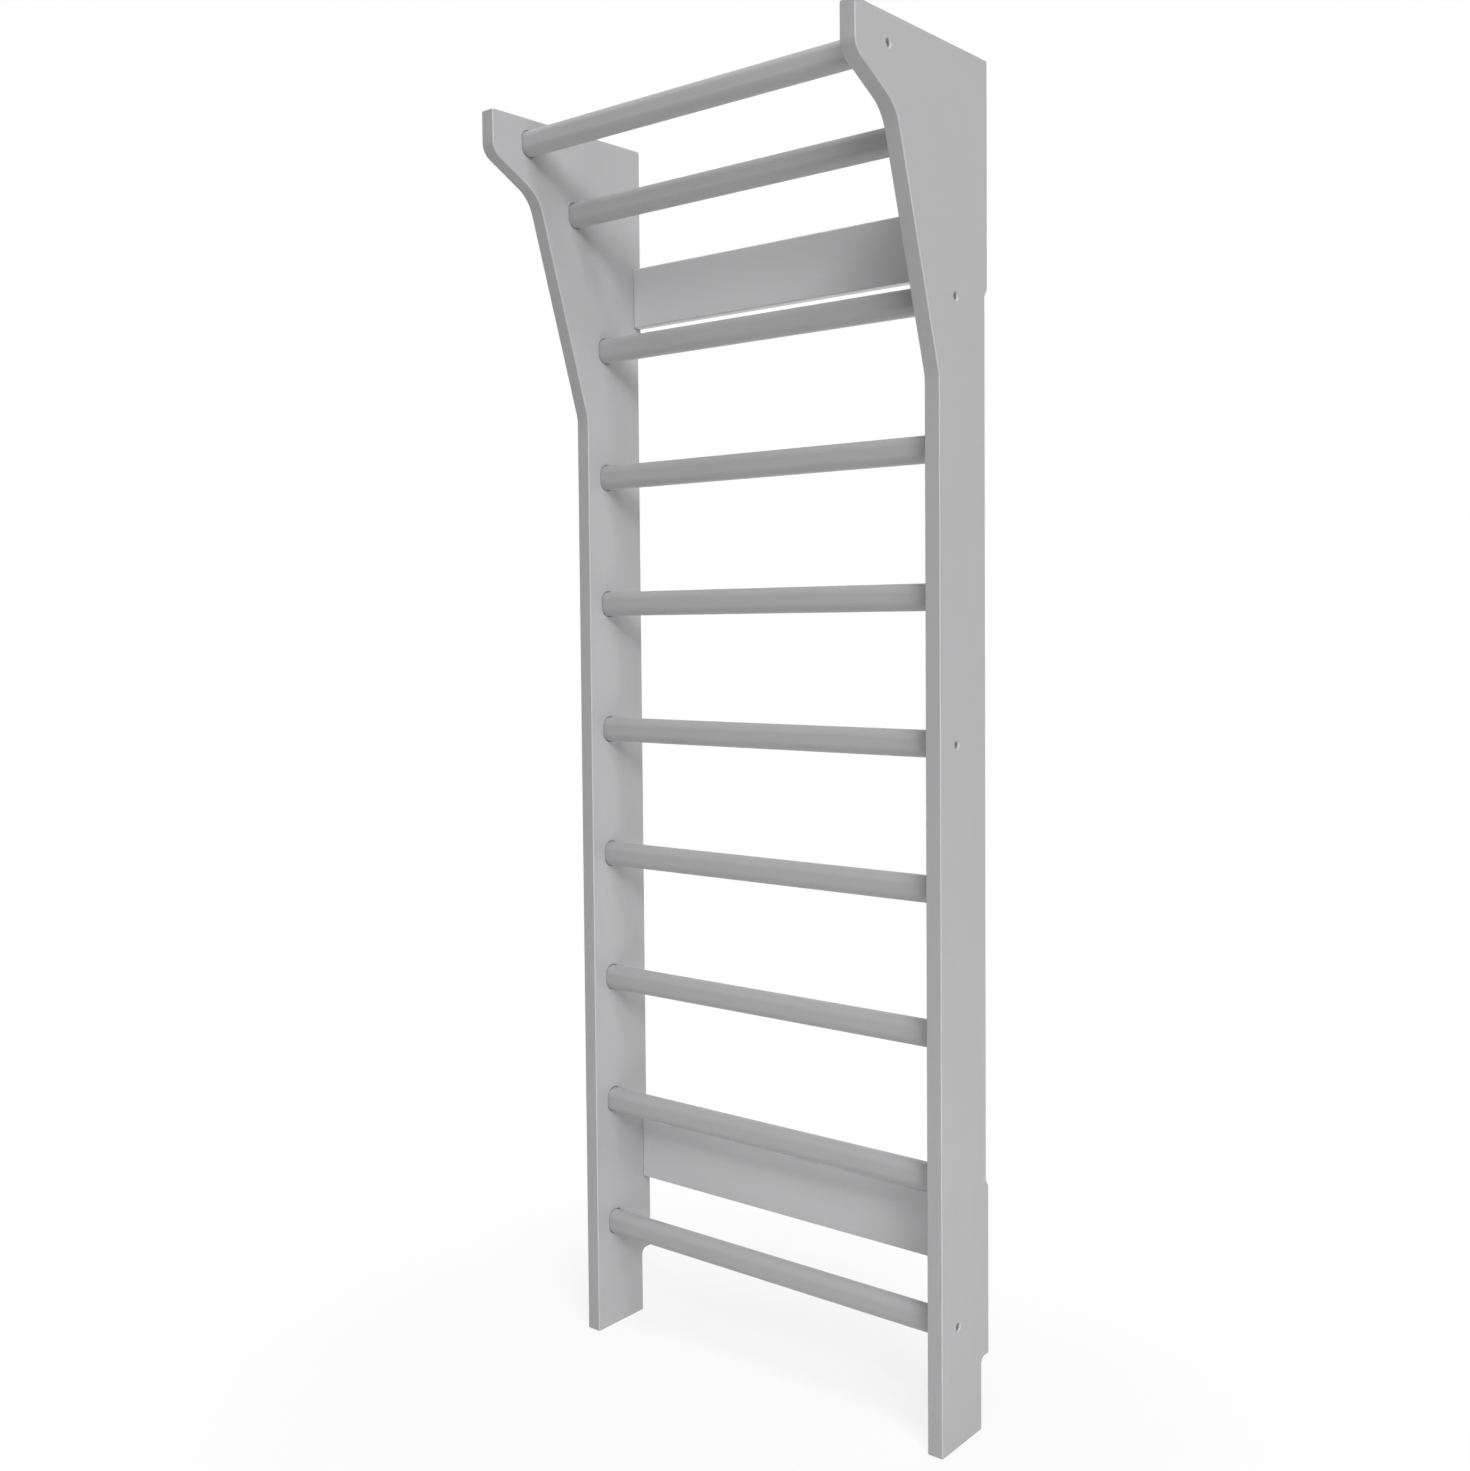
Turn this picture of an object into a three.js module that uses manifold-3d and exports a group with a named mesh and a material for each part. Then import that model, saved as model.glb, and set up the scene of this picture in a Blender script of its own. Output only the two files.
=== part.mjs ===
// Swedish wall bars: two profiled side panels, ten oval rungs and two cross boards.
// Millimetres, +Z up. The part stands on the floor, Z = 0, with its origin under the middle of its
// width and depth. The bars face -Y and the wall is behind them.
import * as THREE from "three";
import { mergeVertices } from "three/addons/utils/BufferGeometryUtils.js";
import Module from "manifold-3d";

// Overall width and the stock that the panels are cut from
const overallWidth = 700;
const panelThickness = 25;
const edgeRadius = 2; // round-over along both faces of a panel
const cornerEase = 1; // added to the round-over where two straight edges of a panel meet

// Rungs, counted from the top
const rungCount = 10;
const rungHeight = 40;
const rungDepth = 30;
const rungCornerRadius = 14; // leaves a flat grip at the front and back
const rungPitch = 211; // between neighbours, from the second rung down
const bottomRungHeight = 178; // floor to the axis of the lowest rung
const topRungRise = 92; // the top rung above the second
const rungInset = 44.5; // front of the upright to a rung's axis
const secondRungInset = 83.5; // depth of the neck to the second rung's axis
const topRungInset = 77.5; // front of the head to the top rung's axis
const rungSeatFloor = 10; // panel left behind a rung's end
const rungEndChamfer = 1.5;

// Panel profile: depths forward of the wall, and heights
const uprightDepth = 133; // wall to the front of the upright
const neckReach = 106; // the neck forward of the upright
const headReach = 203; // the head forward of the upright
const headTopMargin = 38; // panel above the top rung's axis, at the front
const headTopFall = 8; // the top edge falls by this from the wall to the front
const headFrontHeight = 65;
const neckDrop = 51; // the neck below the head's lower corner
const kneeDrop = 115; // the knee below the third rung
const headCornerRadius = 28;
const neckRadius = 60;
const kneeRadius = 50;

// Back of a panel: two wall pads, a relief between them and a notch for a skirting board
const wallRelief = 7;
const reliefRun = 10; // height over which the relief slopes in
const padOverlap = 30.5; // wall pad past the edge of its cross board
const skirtingHeight = 108;
const skirtingDepth = 21.5;
const skirtingFillet = 10;

// Cross boards, whose backs lie on the wall
const boardHeight = 100;
const boardThickness = 18;
const boardEdgeRadius = 2.5;
const upperBoardRise = 98; // third rung's axis to the middle of the upper board
const lowerBoardRise = 108; // lowest rung's axis to the middle of the lower board

// Dowels between a cross board and a panel
const dowelDiameter = 8;
const dowelSeatFloor = 11; // panel left behind a dowel's end
const dowelInBoard = 26;
const dowelSpacing = 50;
const dowelChamfer = 1;

// Countersunk screws through a panel into a rung's end
const screwHeadDiameter = 10;
const screwShankDiameter = 6;
const screwRim = 0.6; // straight edge of the head above its cone
const screwLength = 70;
const screwPoint = 7;
const screwSink = 2.5; // head below the panel's face
const socketAcrossFlats = 4;
const socketDepth = 1.8;

// Fits and facets
const gap = 0.3; // clearance left round every seated piece
const cutPast = 2; // how far a cutter stands out of the face that it enters
const arcStep = THREE.MathUtils.degToRad(10);
const roundOverSteps = 3;
const turnedFacets = 16;

// Places that follow from the sizes above
const outerFace = overallWidth / 2;
const innerFace = outerFace - panelThickness;
const halfPanel = panelThickness / 2;
const cornerRadius = edgeRadius + cornerEase;
const rungSeat = panelThickness - rungSeatFloor;
const dowelInPanel = panelThickness - dowelSeatFloor;
const secondRungHeight = bottomRungHeight + (rungCount - 2) * rungPitch;
const thirdRungHeight = secondRungHeight - rungPitch;
const topRungHeight = secondRungHeight + topRungRise;
const headTopHeight = topRungHeight + headTopMargin;
const headCornerHeight = headTopHeight - headFrontHeight;
const headDepth = uprightDepth + headReach;
const neckDepth = uprightDepth + neckReach;
const rungLength = 2 * (innerFace + rungSeat - gap);
const boardLength = 2 * (innerFace - gap);
const dowelLength = dowelInPanel + dowelInBoard - 2 * gap;
const screwConeHeight = (screwHeadDiameter - screwShankDiameter) / 2;
const boardHeights = {
  upper: thirdRungHeight + upperBoardRise,
  lower: bottomRungHeight + lowerBoardRise,
};
const upperPadBottom = boardHeights.upper - boardHeight / 2 - padOverlap;
const lowerPadTop = boardHeights.lower + boardHeight / 2 + padOverlap;

const panelSides = { left: -1, right: 1 };
const dowelOffsets = { low: -dowelSpacing / 2, high: dowelSpacing / 2 };
const rungNumbers = Array.from({ length: rungCount }, (_, i) => i + 1);
const screwedRungs = [1, 3, 6, rungCount];

const greyPaint = { color: 0xb3b4b5, roughness: 0.5, metalness: 0 };
const panelPaint = new THREE.MeshStandardMaterial(greyPaint);
const rungPaint = new THREE.MeshStandardMaterial({ ...greyPaint, roughness: 0.42 });
const boardPaint = new THREE.MeshStandardMaterial({ ...greyPaint, color: 0xabacad });
const beech = new THREE.MeshStandardMaterial({ color: 0xcda878, roughness: 0.7, metalness: 0 });
const zinc = new THREE.MeshStandardMaterial({ color: 0xa9acae, roughness: 0.35, metalness: 1 });

const wasm = await Module();
wasm.setup();

function solidOf(geometry) {
  const bare = new THREE.BufferGeometry();
  bare.setAttribute("position", geometry.getAttribute("position"));
  bare.setIndex(geometry.getIndex());
  const welded = mergeVertices(bare);
  return new wasm.Manifold(
    new wasm.Mesh({
      numProp: 3,
      vertProperties: welded.getAttribute("position").array,
      triVerts: new Uint32Array(welded.getIndex().array),
    }),
  );
}

function cut(geometry, cutters) {
  const solid = cutters.reduce((rest, cutter) => rest.subtract(solidOf(cutter)), solidOf(geometry));
  const { vertProperties, triVerts } = solid.getMesh();
  const left = new THREE.BufferGeometry();
  left.setAttribute("position", new THREE.BufferAttribute(vertProperties, 3));
  left.setIndex(new THREE.BufferAttribute(triVerts, 1));
  left.computeVertexNormals();
  return left;
}

// A closed outline through corners [y, z, radius], each rounded by an arc that its edges have room for
function roundedOutline(corners) {
  const points = corners.flatMap(([y, z, radius], i) => {
    const corner = new THREE.Vector2(y, z);
    const before = new THREE.Vector2(...corners.at(i - 1)).sub(corner);
    const after = new THREE.Vector2(...corners[(i + 1) % corners.length]).sub(corner);
    const room = Math.min(before.length(), after.length()) / 2;
    before.normalize();
    after.normalize();
    const half = Math.acos(before.dot(after)) / 2;
    const tangent = Math.min(radius / Math.tan(half), room);
    const reach = tangent / Math.cos(half); // corner to the centre of the arc
    const centre = before.clone().add(after).setLength(reach).add(corner);
    const spoke = before.clone().multiplyScalar(tangent).add(corner).sub(centre);
    const turn = (Math.PI - 2 * half) * Math.sign(after.cross(before));
    const steps = Math.ceil(Math.abs(turn) / arcStep);
    return Array.from({ length: steps + 1 }, (_, k) =>
      spoke.clone().rotateAround(new THREE.Vector2(), (turn * k) / steps).add(centre),
    );
  });
  return new THREE.Shape(points);
}

// An outline in Y and Z, extruded along X about X = 0
function extrudeAcross(shape, width, roundOver = 0, steps = roundOverSteps) {
  const geometry = new THREE.ExtrudeGeometry(shape, {
    depth: width - 2 * roundOver,
    bevelEnabled: roundOver > 0,
    bevelThickness: roundOver,
    bevelSize: roundOver,
    bevelOffset: -roundOver,
    bevelSegments: steps,
  });
  geometry.translate(0, 0, roundOver - width / 2);
  const across = new THREE.Matrix4().makeBasis(
    new THREE.Vector3(0, 1, 0),
    new THREE.Vector3(0, 0, 1),
    new THREE.Vector3(1, 0, 0),
  );
  return geometry.applyMatrix4(across);
}

// A profile of [radius, place along X], turned about the X axis
function turnAboutX(profile) {
  const points = profile.map(([radius, along]) => new THREE.Vector2(radius, along));
  return new THREE.LatheGeometry(points, turnedFacets).rotateZ(-Math.PI / 2);
}

// A cutter for a round piece of this diameter, from one place along X to another
function drill(diameter, from, to) {
  const radius = diameter / 2 + gap;
  const profile = [
    [0, from],
    [radius, from],
    [radius, to],
    [0, to],
  ];
  return turnAboutX(profile);
}

// Turns what is made for the right-hand side to face the left, and puts it in place
function onSide(geometry, side, y, z) {
  return geometry.rotateZ(side < 0 ? Math.PI : 0).translate(0, y, z);
}

function rungAxis(number) {
  if (number === 1) {
    return [topRungInset - headDepth, topRungHeight];
  }
  const y = number === 2 ? secondRungInset - neckDepth : rungInset - uprightDepth;
  return [y, secondRungHeight - (number - 2) * rungPitch];
}

// The section of a rung, or of the seat that leaves it a clearance
function rungOutline(clearance = 0) {
  const depth = rungDepth / 2 + clearance;
  const rise = rungHeight / 2 + clearance;
  const radius = rungCornerRadius + clearance;
  return roundedOutline([
    [-depth, -rise, radius],
    [depth, -rise, radius],
    [depth, rise, radius],
    [-depth, rise, radius],
  ]);
}

function rungSeatCutter() {
  const depth = rungSeat + cutPast;
  return extrudeAcross(rungOutline(gap), depth).translate(rungSeat - depth / 2 - halfPanel, 0, 0);
}

function screwHole() {
  const shank = screwShankDiameter / 2 + gap;
  const head = screwHeadDiameter / 2 + gap;
  const rimStart = halfPanel - screwSink - screwRim;
  const profile = [
    [0, -halfPanel],
    [shank, -halfPanel],
    [shank, rimStart - screwConeHeight],
    [head, rimStart],
    [head, halfPanel + cutPast],
    [0, halfPanel + cutPast],
  ];
  return turnAboutX(profile);
}

function panelOutline() {
  const slope = reliefRun / 2;
  return roundedOutline([
    [-uprightDepth, 0, cornerRadius],
    [-skirtingDepth, 0, cornerRadius],
    [-skirtingDepth, skirtingHeight, skirtingFillet],
    [0, skirtingHeight, cornerRadius],
    [0, lowerPadTop - slope, cornerRadius],
    [-wallRelief, lowerPadTop + slope, cornerRadius],
    [-wallRelief, upperPadBottom - slope, cornerRadius],
    [0, upperPadBottom + slope, cornerRadius],
    [0, headTopHeight + headTopFall, cornerRadius],
    [-headDepth, headTopHeight, cornerRadius],
    [-headDepth, headCornerHeight, headCornerRadius],
    [-neckDepth, headCornerHeight - neckDrop, neckRadius],
    [-uprightDepth, thirdRungHeight - kneeDrop, kneeRadius],
  ]);
}

function panelGeometry(side) {
  const mouth = -halfPanel - cutPast;
  const seats = rungNumbers.map((number) => onSide(rungSeatCutter(), side, ...rungAxis(number)));
  const screwHoles = screwedRungs.map((number) => onSide(screwHole(), side, ...rungAxis(number)));
  const dowelHoles = Object.values(boardHeights).flatMap((height) =>
    Object.values(dowelOffsets).map((offset) => {
      const hole = drill(dowelDiameter, mouth, dowelInPanel - halfPanel);
      return onSide(hole, side, -boardThickness / 2, height + offset);
    }),
  );
  const blank = extrudeAcross(panelOutline(), panelThickness, edgeRadius);
  return cut(blank, [...seats, ...screwHoles, ...dowelHoles]);
}

function rungGeometry(number) {
  const bar = extrudeAcross(rungOutline(), rungLength, rungEndChamfer, 1);
  if (!screwedRungs.includes(number)) {
    return bar;
  }
  const tip = outerFace - screwSink - screwLength - gap;
  const pilots = Object.values(panelSides).map((side) =>
    onSide(drill(screwShankDiameter, tip, rungLength / 2 + cutPast), side, 0, 0),
  );
  return cut(bar, pilots);
}

function boardGeometry() {
  const [depth, rise] = [boardThickness / 2, boardHeight / 2];
  const outline = roundedOutline([
    [-depth, -rise, boardEdgeRadius],
    [depth, -rise, boardEdgeRadius],
    [depth, rise, boardEdgeRadius],
    [-depth, rise, boardEdgeRadius],
  ]);
  const [bottom, mouth] = [innerFace - dowelInBoard, innerFace + cutPast];
  const holes = Object.values(panelSides).flatMap((side) =>
    Object.values(dowelOffsets).map((offset) =>
      onSide(drill(dowelDiameter, bottom, mouth), side, 0, offset),
    ),
  );
  return cut(extrudeAcross(outline, boardLength), holes);
}

function dowelGeometry() {
  const radius = dowelDiameter / 2;
  const end = dowelLength / 2;
  const profile = [
    [0, -end],
    [radius - dowelChamfer, -end],
    [radius, dowelChamfer - end],
    [radius, end - dowelChamfer],
    [radius - dowelChamfer, end],
    [0, end],
  ];
  return turnAboutX(profile);
}

// The head's face is at X = 0 and the point runs to -X
function screwGeometry() {
  const shank = screwShankDiameter / 2;
  const head = screwHeadDiameter / 2;
  const profile = [
    [0, -screwLength],
    [shank, screwPoint - screwLength],
    [shank, -screwRim - screwConeHeight],
    [head, -screwRim],
    [head, 0],
    [0, 0],
  ];
  const socketRadius = socketAcrossFlats / Math.sqrt(3);
  const socket = new THREE.CylinderGeometry(socketRadius, socketRadius, socketDepth + cutPast, 6);
  socket.rotateZ(Math.PI / 2).translate((cutPast - socketDepth) / 2, 0, 0);
  return cut(turnAboutX(profile), [socket]);
}

// Everything is placed from the wall, inside a part whose origin is half its depth in front of it
const wallBars = new THREE.Group();
const onWall = new THREE.Group();
onWall.position.y = headDepth / 2;
wallBars.add(onWall);

function place(name, geometry, material, x, y, z, side = 1) {
  const piece = new THREE.Mesh(geometry, material);
  piece.name = name;
  piece.position.set(x, y, z);
  piece.rotation.z = side < 0 ? Math.PI : 0;
  onWall.add(piece);
}

for (const [sideName, side] of Object.entries(panelSides)) {
  const middle = side * (outerFace - halfPanel);
  place(`side_panel_${sideName}`, panelGeometry(side), panelPaint, middle, 0, 0);
}

for (const number of rungNumbers) {
  const label = String(number).padStart(2, "0");
  const axis = rungAxis(number);
  place(`rung_${label}`, rungGeometry(number), rungPaint, 0, ...axis);
  if (screwedRungs.includes(number)) {
    for (const [sideName, side] of Object.entries(panelSides)) {
      const headFace = side * (outerFace - screwSink);
      place(`rung_screw_${sideName}_${label}`, screwGeometry(), zinc, headFace, ...axis, side);
    }
  }
}

for (const [boardName, height] of Object.entries(boardHeights)) {
  place(`cross_board_${boardName}`, boardGeometry(), boardPaint, 0, -boardThickness / 2, height);
  for (const [sideName, side] of Object.entries(panelSides)) {
    const middle = side * (innerFace + (dowelInPanel - dowelInBoard) / 2);
    for (const [level, offset] of Object.entries(dowelOffsets)) {
      const name = `board_dowel_${boardName}_${sideName}_${level}`;
      place(name, dowelGeometry(), beech, middle, -boardThickness / 2, height + offset);
    }
  }
}

export default wallBars;
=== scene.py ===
import math

import bmesh
import bpy
from mathutils import Matrix, Vector


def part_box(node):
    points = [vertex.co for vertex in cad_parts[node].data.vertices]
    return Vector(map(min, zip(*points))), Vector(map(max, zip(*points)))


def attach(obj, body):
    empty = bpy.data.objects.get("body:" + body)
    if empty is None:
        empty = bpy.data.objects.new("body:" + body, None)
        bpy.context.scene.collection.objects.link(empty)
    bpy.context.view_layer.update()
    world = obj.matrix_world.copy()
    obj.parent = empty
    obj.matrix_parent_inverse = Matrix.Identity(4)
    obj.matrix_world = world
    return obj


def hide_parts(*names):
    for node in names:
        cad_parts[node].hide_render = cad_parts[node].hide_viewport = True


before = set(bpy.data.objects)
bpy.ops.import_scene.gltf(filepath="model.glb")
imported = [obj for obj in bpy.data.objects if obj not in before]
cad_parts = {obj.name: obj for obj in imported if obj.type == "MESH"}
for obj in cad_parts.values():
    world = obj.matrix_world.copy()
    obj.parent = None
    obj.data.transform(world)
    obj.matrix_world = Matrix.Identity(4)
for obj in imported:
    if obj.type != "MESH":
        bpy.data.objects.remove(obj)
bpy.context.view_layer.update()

print("frame loaded:", len(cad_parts), "nodes")

mm = 0.001


# outlines are lists of (y, z) points, and a piece is a loft of one outline along x


def roundedOutline(corners, step=math.radians(4)):
    points = []
    for i, (y, z, radius) in enumerate(corners):
        corner = Vector((y, z))
        before = Vector(corners[i - 1][:2]) - corner
        after = Vector(corners[(i + 1) % len(corners)][:2]) - corner
        before.normalize()
        after.normalize()
        half = before.angle(after) / 2
        tangent = radius / math.tan(half)
        centre = corner + (before + after).normalized() * tangent / math.cos(half)
        spoke = corner + before * tangent - centre
        turn = (math.pi - 2 * half) * math.copysign(1, after.x * before.y - after.y * before.x)
        steps = math.ceil(abs(turn) / step)
        points += [centre + Matrix.Rotation(turn * k / steps, 2) @ spoke for k in range(steps + 1)]
    return points


def boxOutline(low, high, radius):
    corners = [low, (high[0], low[1]), high, (low[0], high[1])]
    return roundedOutline([(y, z, radius) for y, z in corners])


def circleOutline(radius, sides):
    turns = [2 * math.pi * k / sides for k in range(sides)]
    return [Vector((math.cos(t), math.sin(t))) * radius for t in turns]


# the outline's points moved out by a distance, along the mean of the normals beside each point
def outset(points, distance):
    moved = []
    for i, point in enumerate(points):
        inward = point - points[i - 1]
        outward = points[(i + 1) % len(points)] - point
        first = Vector((inward.y, -inward.x)).normalized()
        second = Vector((outward.y, -outward.x)).normalized()
        mean = (first + second).normalized()
        moved.append(point + mean * distance / mean.dot(first))
    return moved


# sections (x, outset) of a loft from one x to another, with a quarter round at both ends
def roundedEnds(first, last, radius, steps=6):
    direction = math.copysign(1, last - first)
    turns = [math.pi / 2 * k / steps for k in range(steps + 1)]
    rounds = [(radius * (1 - math.sin(t)), radius * (math.cos(t) - 1)) for t in turns]
    start = [(first + direction * inset, grow) for inset, grow in reversed(rounds)]
    return start + [(last - direction * inset, grow) for inset, grow in rounds]


def loft(bm, points, sections, at=(0, 0)):
    place = Vector(at)
    rings = []
    for x, grow in sections:
        ring = [point + place for point in outset(points, grow)]
        rings.append([bm.verts.new((x, y, z)) for y, z in ring])
    for low, high in zip(rings, rings[1:]):
        for i in range(len(points)):
            bm.faces.new((low[i - 1], low[i], high[i], high[i - 1]))
    bm.faces.new(rings[0])
    bm.faces.new(reversed(rings[-1]))


def makeObject(name, bm, material=None):
    bmesh.ops.recalc_face_normals(bm, faces=bm.faces)
    mesh = bpy.data.meshes.new(name)
    bm.to_mesh(mesh)
    bm.free()
    made = bpy.data.objects.new(name, mesh)
    bpy.context.scene.collection.objects.link(made)
    if material:
        mesh.materials.append(material)
    return made


def cutAway(piece, cutters):
    tool = makeObject("cutter", cutters)
    cut = piece.modifiers.new("cut", "BOOLEAN")
    cut.operation = "DIFFERENCE"
    cut.solver = "EXACT"
    cut.object = tool
    evaluated = piece.evaluated_get(bpy.context.evaluated_depsgraph_get())
    result = bpy.data.meshes.new_from_object(evaluated)
    piece.modifiers.clear()
    piece.data = result
    bpy.data.objects.remove(tool)


# smooth shading that stays flat on flats and sharp at arrises
def finishPiece(piece, node, sharpAngle=40):
    piece.data.polygons.foreach_set("use_smooth", [True] * len(piece.data.polygons))
    piece.data.set_sharp_from_angle(angle=math.radians(sharpAngle))
    weighted = piece.modifiers.new("flats", "WEIGHTED_NORMAL")
    weighted.keep_sharp = True
    weighted.weight = 100
    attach(piece, "root")
    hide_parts(node)


class Wire:
    def __init__(self, graph, socket):
        self.graph, self.socket = graph, socket

    def maths(self, operation, first, second):
        return self.graph.node("Math", {"operation": operation}, {0: first, 1: second})

    def __add__(self, other):
        return self.maths("ADD", self, other)

    def __radd__(self, other):
        return self.maths("ADD", other, self)

    def __sub__(self, other):
        return self.maths("SUBTRACT", self, other)

    def __rsub__(self, other):
        return self.maths("SUBTRACT", other, self)

    def __mul__(self, other):
        return self.maths("MULTIPLY", self, other)

    def __rmul__(self, other):
        return self.maths("MULTIPLY", other, self)


class Graph:
    def __init__(self, owner):
        owner.use_nodes = True
        self.tree = owner.node_tree
        self.tree.nodes.clear()

    def node(self, kind, settings=None, sockets=None, output=0):
        made = self.tree.nodes.new("ShaderNode" + kind)
        for name, value in (settings or {}).items():
            setattr(made, name, value)
        for name, value in (sockets or {}).items():
            if isinstance(value, Wire):
                self.tree.links.new(value.socket, made.inputs[name])
            else:
                made.inputs[name].default_value = value
        return Wire(self, made.outputs[output]) if made.outputs else None

    def noise(self, place, scale, detail=3, roughness=0.5):
        sockets = {"Vector": place, "Scale": scale, "Detail": detail, "Roughness": roughness}
        return self.node("TexNoise", {}, sockets)


paint = {
    "tint": (1.0, 0.998, 1.018),
    "panelTone": 0.45,
    # one grey paint throughout: the rungs' darker tone is painted shade and the boards' lighter
    # tone is painted light
    "rungShadedTone": 0.378,
    "boardLitTone": 0.57,
    "grainPitch": 3.2 * mm,  # across the grain
    "grainLength": 140 * mm,
    "grainDepth": 0.05 * mm,
    "peelPitch": 1.6 * mm,  # the fine skin of sprayed paint
    "peelDepth": 0.012 * mm,
    "cloudPitch": 180 * mm,  # slow change of tone over a board
    "cloudTone": 0.03,
    "grainTone": 0.035,
    "roughness": 0.6,
    "roughnessSpread": 0.12,
    "specular": 0.3,
    "edgeShadeTone": 0.83,  # painted shade: edges are coloured darker than faces
    "arrisHighlightTone": 0.2,  # painted highlight along the line where an edge meets a face
}


def paintedWood(name, tone, along, edges=False):
    material = bpy.data.materials.new(name)
    g = Graph(material)
    place = g.node("TexCoord", output="Object")
    squeeze = [1 / paint["grainPitch"]] * 3
    squeeze["XYZ".index(along)] = 1 / paint["grainLength"]
    stretched = g.node("VectorMath", {"operation": "MULTIPLY"}, {0: place, 1: squeeze})
    grain = g.noise(stretched, 1, detail=4, roughness=0.6)
    peel = g.noise(place, 1 / paint["peelPitch"], detail=2)
    cloud = g.noise(place, 1 / paint["cloudPitch"])

    shade = 1 + (cloud - 0.5) * (2 * paint["cloudTone"]) + (grain - 0.5) * (2 * paint["grainTone"])
    # painted light on the panels: painted shade on their edges and a painted highlight along their
    # arrises
    if edges:
        facing = g.node("TexCoord", output="Normal")
        across = g.node("SeparateXYZ", {}, {0: facing}, "X")
        face = across * across  # 1 on a face, 0 on an edge
        arris = 4 * face * (1 - face)
        edgeShadeAndHighlight = paint["edgeShadeTone"] + (1 - paint["edgeShadeTone"]) * face + paint["arrisHighlightTone"] * arris
        shade = shade * edgeShadeAndHighlight
    plain = [tone * part for part in paint["tint"]]
    colour = g.node("VectorMath", {"operation": "SCALE"}, {0: plain, "Scale": shade})
    rough = paint["roughness"] + (cloud - 0.5) * paint["roughnessSpread"]
    rough = rough + (grain - 0.5) * paint["roughnessSpread"]
    ridges = g.node("Bump", {}, {"Strength": 1.0, "Distance": paint["grainDepth"], "Height": grain})
    skin = {"Strength": 1.0, "Distance": paint["peelDepth"], "Height": peel, "Normal": ridges}
    normal = g.node("Bump", {}, skin)
    surface = {"Base Color": colour, "Roughness": rough, "Normal": normal}
    surface["Specular IOR Level"] = paint["specular"]
    shader = g.node("BsdfPrincipled", {}, surface)
    g.node("OutputMaterial", {}, {"Surface": shader})
    return material


screwFinish = {
    # a zinc darker than bare zinc: painted shade for the recess round each head
    "tone": 0.26,
    "roughness": 0.48,
    "roughnessSpread": 0.2,
    "speckPitch": 0.7 * mm,  # crystals of the zinc coat
    "speckTone": 0.06,
}


def zincSteel(name):
    material = bpy.data.materials.new(name)
    g = Graph(material)
    place = g.node("TexCoord", output="Object")
    speck = g.noise(place, 1 / screwFinish["speckPitch"], detail=2)
    shade = screwFinish["tone"] + (speck - 0.5) * (2 * screwFinish["speckTone"])
    colour = g.node("CombineColor", {}, {"Red": shade, "Green": shade, "Blue": shade})
    rough = screwFinish["roughness"] + (speck - 0.5) * screwFinish["roughnessSpread"]
    surface = {"Base Color": colour, "Roughness": rough, "Metallic": 1.0}
    shader = g.node("BsdfPrincipled", {}, surface)
    g.node("OutputMaterial", {}, {"Surface": shader})
    return material


beech = {
    "pale": (0.62, 0.42, 0.24, 1),
    "dark": (0.46, 0.28, 0.14, 1),
    "fleckPitch": 0.8 * mm,
    "fleckLength": 9 * mm,
    "roughness": 0.65,
}


def bareBeech(name):
    material = bpy.data.materials.new(name)
    g = Graph(material)
    place = g.node("TexCoord", output="Object")
    squeeze = [1 / beech["fleckLength"], 1 / beech["fleckPitch"], 1 / beech["fleckPitch"]]
    stretched = g.node("VectorMath", {"operation": "MULTIPLY"}, {0: place, 1: squeeze})
    fleck = g.noise(stretched, 1)
    colours = {0: fleck, 6: beech["pale"], 7: beech["dark"]}  # Mix's factor and its two colours
    colour = g.node("Mix", {"data_type": "RGBA"}, colours, 2)
    surface = {"Base Color": colour, "Roughness": beech["roughness"]}
    shader = g.node("BsdfPrincipled", {}, surface)
    g.node("OutputMaterial", {}, {"Surface": shader})
    return material


panelPaint = paintedWood("panel_paint", paint["panelTone"], "Z", edges=True)
rungPaint = paintedWood("rung_paint", paint["rungShadedTone"], "X")
boardPaint = paintedWood("board_paint", paint["boardLitTone"], "X")
screwZinc = zincSteel("screw_zinc")
dowelBeech = bareBeech("dowel_beech")
print("finishes made")


# the side panels: a profiled board with a forward head, a neck, a knee and a relieved back

panel = {
    "uprightDepth": 133 * mm,
    "neckDepth": 239 * mm,
    "topFall": 8 * mm,
    "headFront": 65 * mm,
    "neckDrop": 51 * mm,
    "kneeBelowRung": 115 * mm,
    "cornerRadius": 3 * mm,
    "headRadius": 28 * mm,
    "neckRadius": 60 * mm,
    "kneeRadius": 50 * mm,
    "relief": 7 * mm,
    "reliefRun": 10 * mm,
    "padOverlap": 30.5 * mm,
    "skirting": (21.5 * mm, 108 * mm),
    "skirtingFillet": 10 * mm,
    "edgeRadius": 2 * mm,
}
seat = {"depth": 15 * mm, "clearance": 0.9 * mm, "easing": 0.9 * mm}
screwHole = {"clearance": 0.35 * mm, "easing": 2 * mm, "below": 1.5 * mm, "sides": 48}
rung = {"cornerRadius": 14 * mm, "endRadius": 1.5 * mm}
cutPast = 2 * mm  # cutters run on past the face that they open

panelLow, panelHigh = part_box("side_panel_right")
wall, head, top = panelHigh.y, panelLow.y, panelHigh.z
screwedRungs = [int(node[-2:]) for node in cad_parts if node.startswith("rung_screw_right")]
rungNodes = sorted(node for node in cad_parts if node[:5] == "rung_" and node[5:].isdigit())


def middleOf(node):
    low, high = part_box(node)
    return (low + high) / 2


def rungSection():
    low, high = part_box("rung_03")
    depth, rise = (high.y - low.y) / 2, (high.z - low.z) / 2
    return boxOutline((-depth, -rise), (depth, rise), rung["cornerRadius"])


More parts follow.
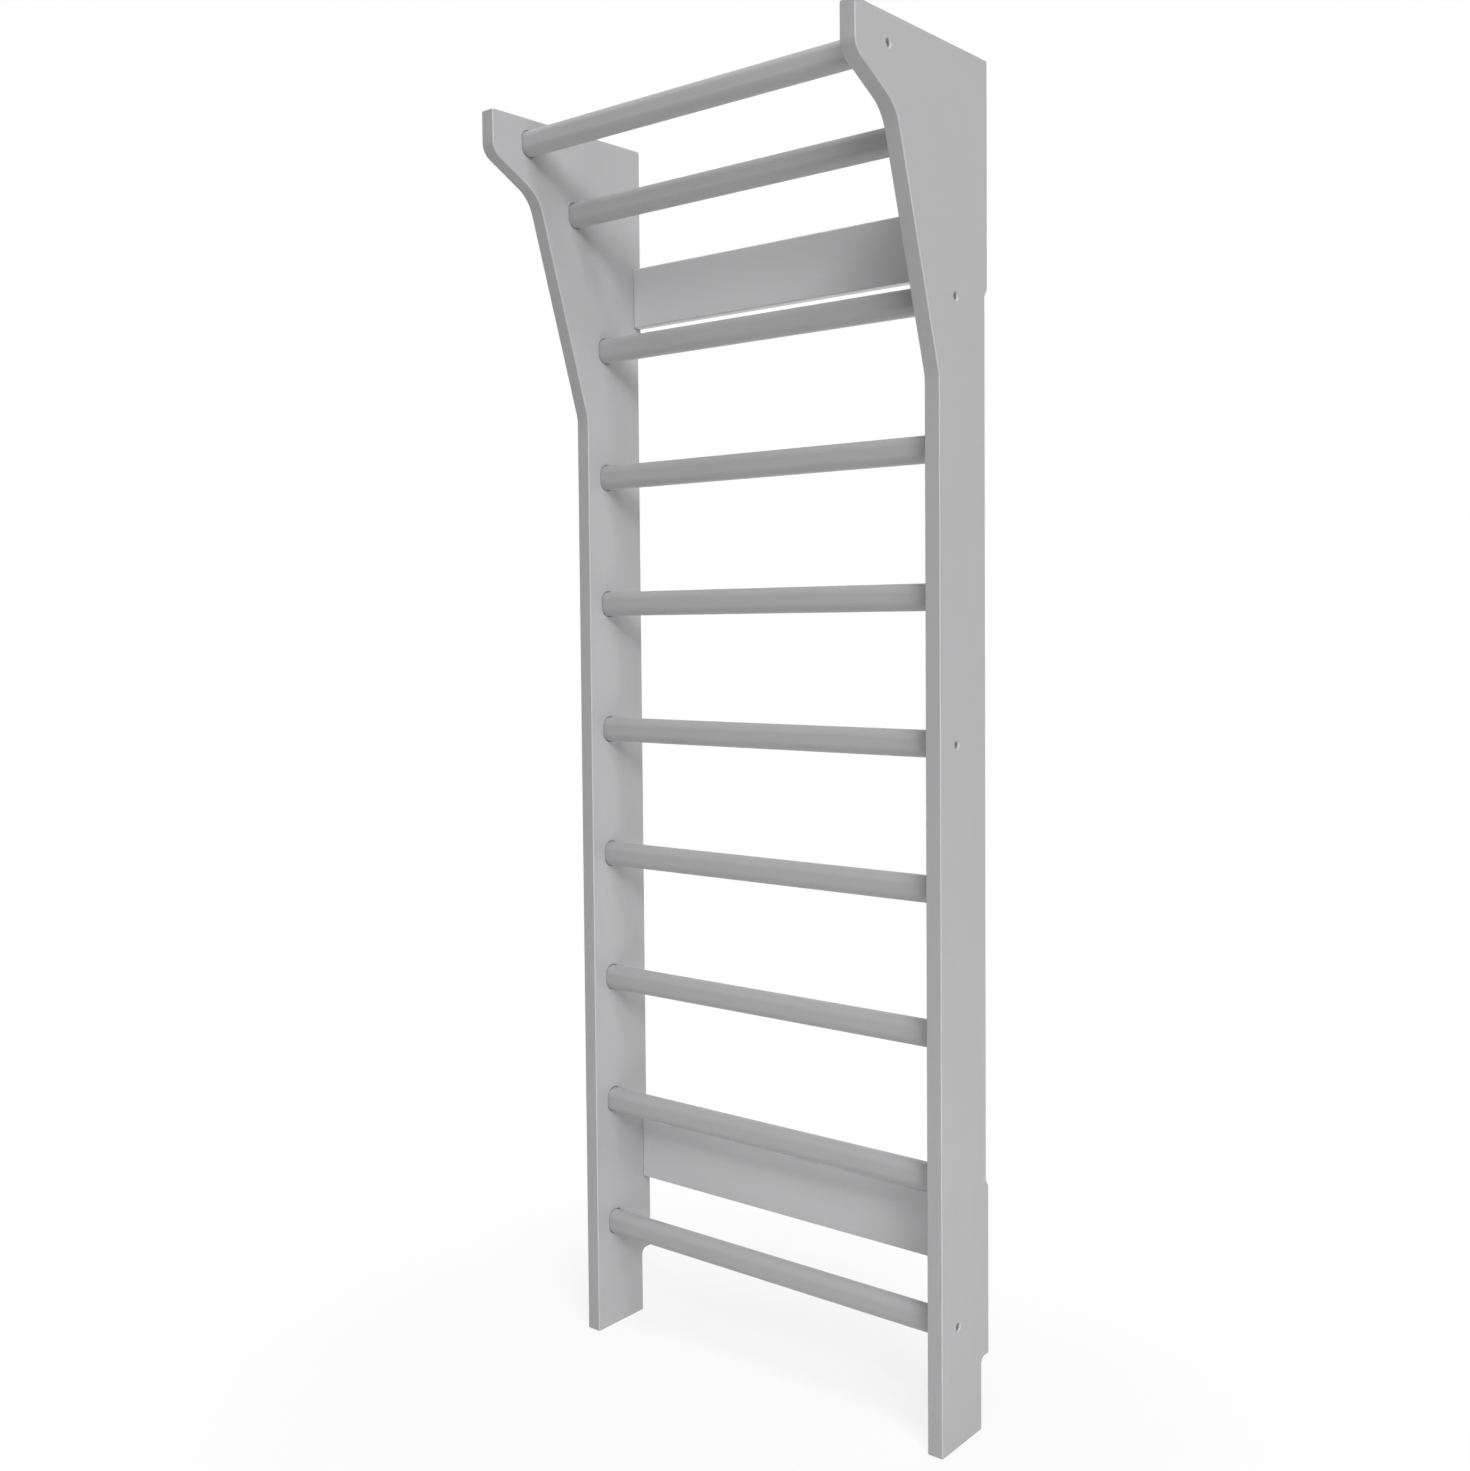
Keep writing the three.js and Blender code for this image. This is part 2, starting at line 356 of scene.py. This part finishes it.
def panelProfile():
    knee = middleOf("rung_03").z - panel["kneeBelowRung"]
    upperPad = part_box("cross_board_upper")[0].z - panel["padOverlap"]
    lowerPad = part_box("cross_board_lower")[1].z + panel["padOverlap"]
    notchDepth, notchHeight = panel["skirting"]
    headTop = top - panel["topFall"]
    headCorner = headTop - panel["headFront"]
    halfRun = panel["reliefRun"] / 2
    plain = panel["cornerRadius"]
    return roundedOutline([
        (wall - panel["uprightDepth"], 0, plain),
        (wall - notchDepth, 0, plain),
        (wall - notchDepth, notchHeight, panel["skirtingFillet"]),
        (wall, notchHeight, plain),
        (wall, lowerPad - halfRun, plain),
        (wall - panel["relief"], lowerPad + halfRun, plain),
        (wall - panel["relief"], upperPad - halfRun, plain),
        (wall, upperPad + halfRun, plain),
        (wall, top, plain),
        (head, headTop, plain),
        (head, headCorner, panel["headRadius"]),
        (wall - panel["neckDepth"], headCorner - panel["neckDrop"], panel["neckRadius"]),
        (wall - panel["uprightDepth"], knee, panel["kneeRadius"]),
    ])


def makePanel(sideName, side):
    node = f"side_panel_{sideName}"
    low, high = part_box(node)
    outer, inner = (high.x, low.x) if side > 0 else (low.x, high.x)
    bm = bmesh.new()
    loft(bm, panelProfile(), roundedEnds(inner, outer, panel["edgeRadius"]))
    made = makeObject(f"painted_panel_{sideName}", bm, panelPaint)

    cutters = bmesh.new()
    section = rungSection()
    for rungNode in rungNodes:
        middle = middleOf(rungNode)
        mouth = seat["clearance"] + seat["easing"]
        loft(cutters, section, [
            (inner - side * cutPast, mouth),
            (inner, mouth),
            (inner + side * seat["easing"], seat["clearance"]),
            (inner + side * seat["depth"], seat["clearance"]),
        ], (middle.y, middle.z))
    for number in screwedRungs:
        screwLow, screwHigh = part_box(f"rung_screw_{sideName}_{number:02d}")
        headFace = screwHigh.x if side > 0 else screwLow.x
        middle = (screwLow + screwHigh) / 2
        circle = circleOutline((screwHigh.z - screwLow.z) / 2, screwHole["sides"])
        mouth = screwHole["clearance"] + screwHole["easing"]
        loft(cutters, circle, [
            (headFace - side * screwHole["below"], screwHole["clearance"]),
            (outer - side * screwHole["easing"], screwHole["clearance"]),
            (outer, mouth),
            (outer + side * cutPast, mouth),
        ], (middle.y, middle.z))
    cutAway(made, cutters)
    finishPiece(made, node)


for sideName, side in (("left", -1), ("right", 1)):
    makePanel(sideName, side)
print("panels made")


# the rungs stand in the panels' seats, with their ends eased

for rungNode in rungNodes:
    low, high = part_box(rungNode)
    middle = (low + high) / 2
    bm = bmesh.new()
    loft(bm, rungSection(), roundedEnds(low.x, high.x, rung["endRadius"]), (middle.y, middle.z))
    made = makeObject("painted_" + rungNode, bm, rungPaint)
    finishPiece(made, rungNode)
print("rungs made")


# the cross boards, with an open joint at each panel

board = {"edgeRadius": 2.5 * mm, "endRadius": 0.6 * mm, "joint": 0.6 * mm}

for level in ("upper", "lower"):
    node = f"cross_board_{level}"
    low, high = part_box(node)
    outline = boxOutline((low.y, low.z), (high.y, high.z), board["edgeRadius"])
    left, right = low.x + board["joint"], high.x - board["joint"]
    bm = bmesh.new()
    loft(bm, outline, roundedEnds(left, right, board["endRadius"]))
    made = makeObject(f"painted_board_{level}", bm, boardPaint)
    finishPiece(made, node)
print("boards made")


# countersunk screws with hexagon sockets, seen only at their heads

screw = {
    "rim": 0.6 * mm,
    "shank": 6 * mm,
    "point": 7 * mm,
    "tipRadius": 0.2 * mm,
    "rimEasing": 0.3 * mm,
    "socketFlats": 4 * mm,
    "socketDepth": 1.2 * mm,
    "sides": 48,
    "sharpAngle": 30,
}


def makeScrew(sideName, side, number):
    node = f"rung_screw_{sideName}_{number:02d}"
    low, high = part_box(node)
    face, tip = (high.x, low.x) if side > 0 else (low.x, high.x)
    radius = (high.z - low.z) / 2
    cone = radius - screw["shank"] / 2
    at = ((low.y + high.y) / 2, (low.z + high.z) / 2)
    easing = screw["rimEasing"]
    bm = bmesh.new()
    loft(bm, circleOutline(radius, screw["sides"]), [
        (tip, screw["tipRadius"] - radius),
        (tip + side * screw["point"], -cone),
        (face - side * (screw["rim"] + cone), -cone),
        (face - side * screw["rim"], 0),
        (face - side * easing, 0),
        (face, -easing),
    ], at)
    made = makeObject(f"zinc_screw_{sideName}_{number:02d}", bm, screwZinc)
    cutters = bmesh.new()
    hexagon = circleOutline(screw["socketFlats"] / math.sqrt(3), 6)
    bottom, mouth = face - side * screw["socketDepth"], face + side * cutPast
    loft(cutters, hexagon, [(bottom, 0), (mouth, 0)], at)
    cutAway(made, cutters)
    finishPiece(made, node, screw["sharpAngle"])


for number in screwedRungs:
    makeScrew("left", -1, number)
    makeScrew("right", 1, number)
for name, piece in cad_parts.items():
    if name.startswith("board_dowel"):
        piece.data.materials[0] = dowelBeech
print("fixings made")


# camera at the photograph's viewpoint, fitted to the edges of the panels and rungs

view = {
    "position": (1.5037, -2.0318, 1.1928),  # y is counted from the wall
    "azimuth": 38.716,
    "down": 2.466,
    "roll": -0.483,
    "focalPixels": 1576.1,
    "centreRow": 694.75,
    "imageHeight": 1471,
    "sensor": 24,  # height in millimetres
}


def makeCamera():
    turn, down, roll = (math.radians(view[key]) for key in ("azimuth", "down", "roll"))
    level = Vector((math.cos(turn), math.sin(turn), 0))
    ahead = Vector((-level.y * math.cos(down), level.x * math.cos(down), -math.sin(down)))
    raised = level.cross(ahead)
    right = level * math.cos(roll) + raised * math.sin(roll)
    up = raised * math.cos(roll) - level * math.sin(roll)
    data = bpy.data.cameras.new("camera")
    data.sensor_fit = "VERTICAL"
    data.sensor_height = view["sensor"]
    data.lens = view["sensor"] * view["focalPixels"] / view["imageHeight"]
    data.shift_y = (view["centreRow"] - view["imageHeight"] / 2) / view["imageHeight"]
    made = bpy.data.objects.new("camera", data)
    made.matrix_world = Matrix((right, up, -ahead)).transposed().to_4x4()
    made.location = Vector(view["position"]) + Vector((0, wall, 0))
    bpy.context.scene.collection.objects.link(made)
    bpy.context.scene.camera = made


makeCamera()


# a pale floor that fades to white, and soft light from above and from the right

studio = {
    "floorRadius": 14,
    "floorSides": 96,
    "floorTone": 0.86,
    "shadowShare": 0.2,  # how much of the floor's own shading the camera sees
    "fadeFrom": 0.3,  # from the middle of the floor
    "fadeTo": 1.1,
    "worldLight": 0.025,
    "aim": (0, 0.1, 1.0),
    "lamps": {  # the last three stand for light that the floor and the wall throw back
        "keyHigh": {"at": (4.75, -2.75, 8.09), "size": (2.5, 2.5), "power": 219},
        "keyMiddle": {"at": (4.43, -5.18, 6.79), "size": (2.5, 2.5), "power": 130},
        "keyLow": {"at": (6.32, -4.84, 5.09), "size": (2.5, 2.5), "power": 226},
        "keyFront": {"at": (4.47, -6.28, 5.5), "size": (1.25, 1.25), "power": 77},
        "leftHigh": {"at": (-3.9, -2.15, 8.79), "size": (2.5, 2.5), "power": 106},
        "overhead": {"at": (0.43, -1.08, 9.91), "size": (2.5, 2.5), "power": 190},
        "sideBack": {"at": (7.68, 2.16, 5.23), "size": (2.5, 2.5), "power": 37},
        "leftBack": {"at": (-7.0, 4.0, 1.6), "size": (2.5, 2.5), "power": 250},
        "rightFloor": {"at": (1.0, -0.3, 0.02), "size": (1.2, 1.2), "power": 4.0},
        "frontFloor": {"at": (0, -0.55, 0.03), "size": (0.7, 0.7), "power": 1.1},
        "wallFill": {"at": (0, 0.9, 1.0), "size": (1.2, 2.4), "power": 5.9},
    },
}


def seenDirectly(g):
    camera = g.node("LightPath", output="Is Camera Ray")
    glossy = g.node("LightPath", output="Is Glossy Ray")
    through = g.node("LightPath", output="Is Transmission Ray")
    return g.node("Math", {"operation": "MINIMUM"}, {0: camera + glossy + through, 1: 1.0})


def makeFloor():
    bm = bmesh.new()
    size = {"segments": studio["floorSides"], "radius": studio["floorRadius"]}
    bmesh.ops.create_circle(bm, cap_ends=True, **size)
    material = bpy.data.materials.new("pale_floor")
    g = Graph(material)
    place = g.node("TexCoord", output="Object")
    distance = g.node("VectorMath", {"operation": "LENGTH"}, {0: place}, "Value")
    limits = {"From Min": studio["fadeFrom"], "From Max": studio["fadeTo"]}
    fade = g.node("MapRange", {"interpolation_type": "SMOOTHSTEP"}, {"Value": distance, **limits})
    shaded = g.node("BsdfDiffuse", {}, {"Color": (studio["floorTone"],) * 3 + (1,)})
    white = g.node("Emission", {}, {"Color": (1, 1, 1, 1), "Strength": 1.0})
    share = seenDirectly(g) * (1 - (1 - fade) * studio["shadowShare"])
    mixed = g.node("MixShader", {}, {0: share, 1: shaded, 2: white})
    g.node("OutputMaterial", {}, {"Surface": mixed})
    makeObject("floor", bm, material)


def makeLight():
    world = bpy.data.worlds.new("studio")
    bpy.context.scene.world = world
    g = Graph(world)
    low = studio["worldLight"]
    sky = {"Color": (1, 1, 1, 1), "Strength": low + seenDirectly(g) * (1 - low)}
    background = g.node("Background", {}, sky)
    g.node("OutputWorld", {}, {"Surface": background})
    aim = Vector(studio["aim"])
    for name, lamp in studio["lamps"].items():
        data = bpy.data.lights.new(name, "AREA")
        data.shape = "RECTANGLE"
        data.size, data.size_y = lamp["size"]
        data.energy = lamp["power"]
        made = bpy.data.objects.new(name, data)
        made.location = lamp["at"]
        made.rotation_euler = (aim - made.location).to_track_quat("-Z", "Y").to_euler()
        made.visible_camera = False
        bpy.context.scene.collection.objects.link(made)


makeFloor()
makeLight()
bpy.context.scene.view_settings.view_transform = "Standard"
print("studio made")
